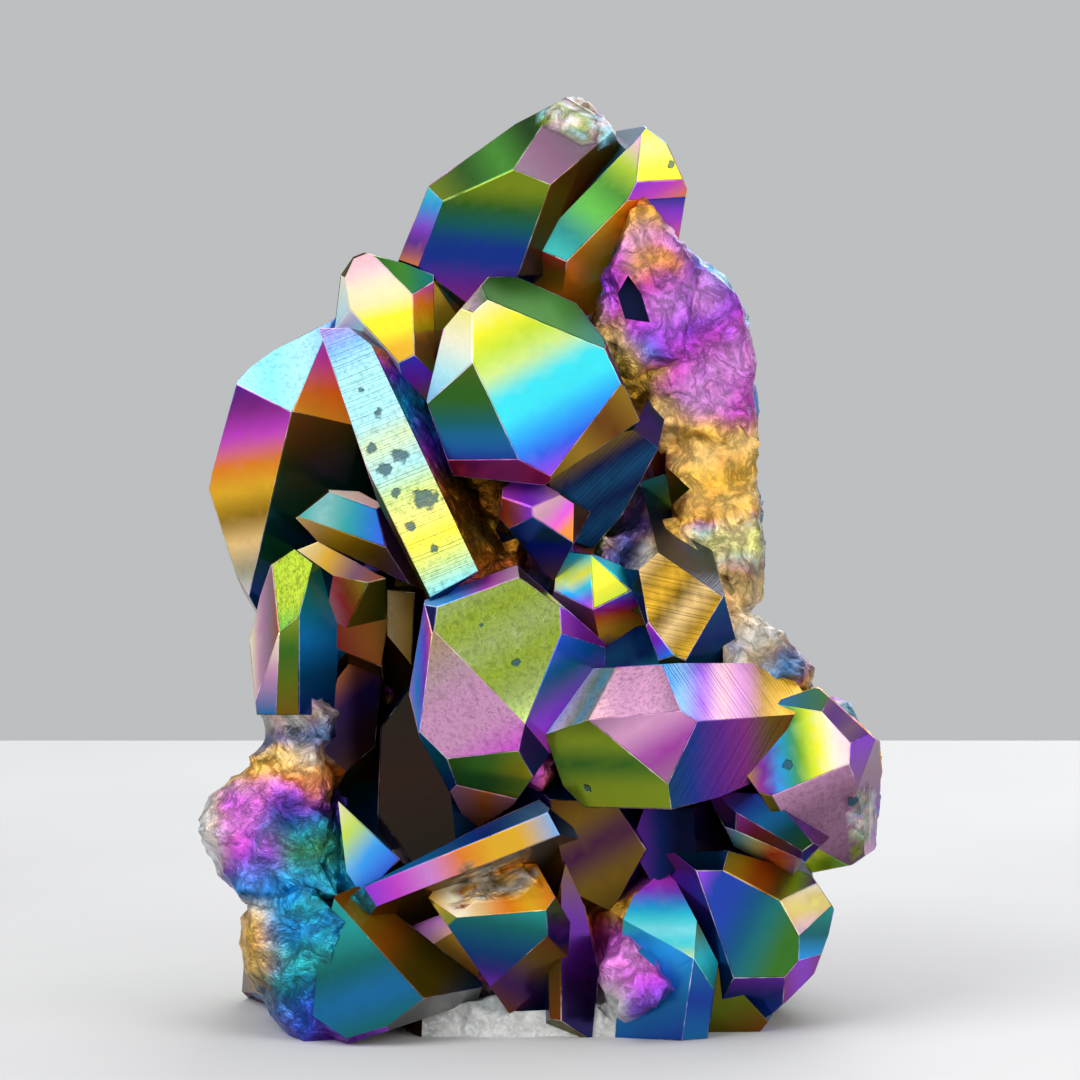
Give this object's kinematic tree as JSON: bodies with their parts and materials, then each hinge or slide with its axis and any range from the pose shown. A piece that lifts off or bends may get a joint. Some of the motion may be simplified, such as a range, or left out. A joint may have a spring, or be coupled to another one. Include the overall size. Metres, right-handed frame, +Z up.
{
  "type": "aura quartz crystal cluster",
  "caption": "Tall cluster of large six-sided crystals with a rainbow metal coat, grown on broken rock and sawn flat underneath to stand.",
  "frame": {"origin": "middle of the bounding box at the sawn flat base", "axes": "+Z up from the base, -Y towards the viewer of the front, +X to the viewer's right"},
  "size_m": [0.1098, 0.074, 0.1465],
  "materials": {
    "aura_quartz": "metal-like thin film, glossy on crystal faces, rough on broken rock"
  },
  "bodies": {
    "root": {"crystal_cluster": "aura_quartz"}
  },
  "joints": []
}
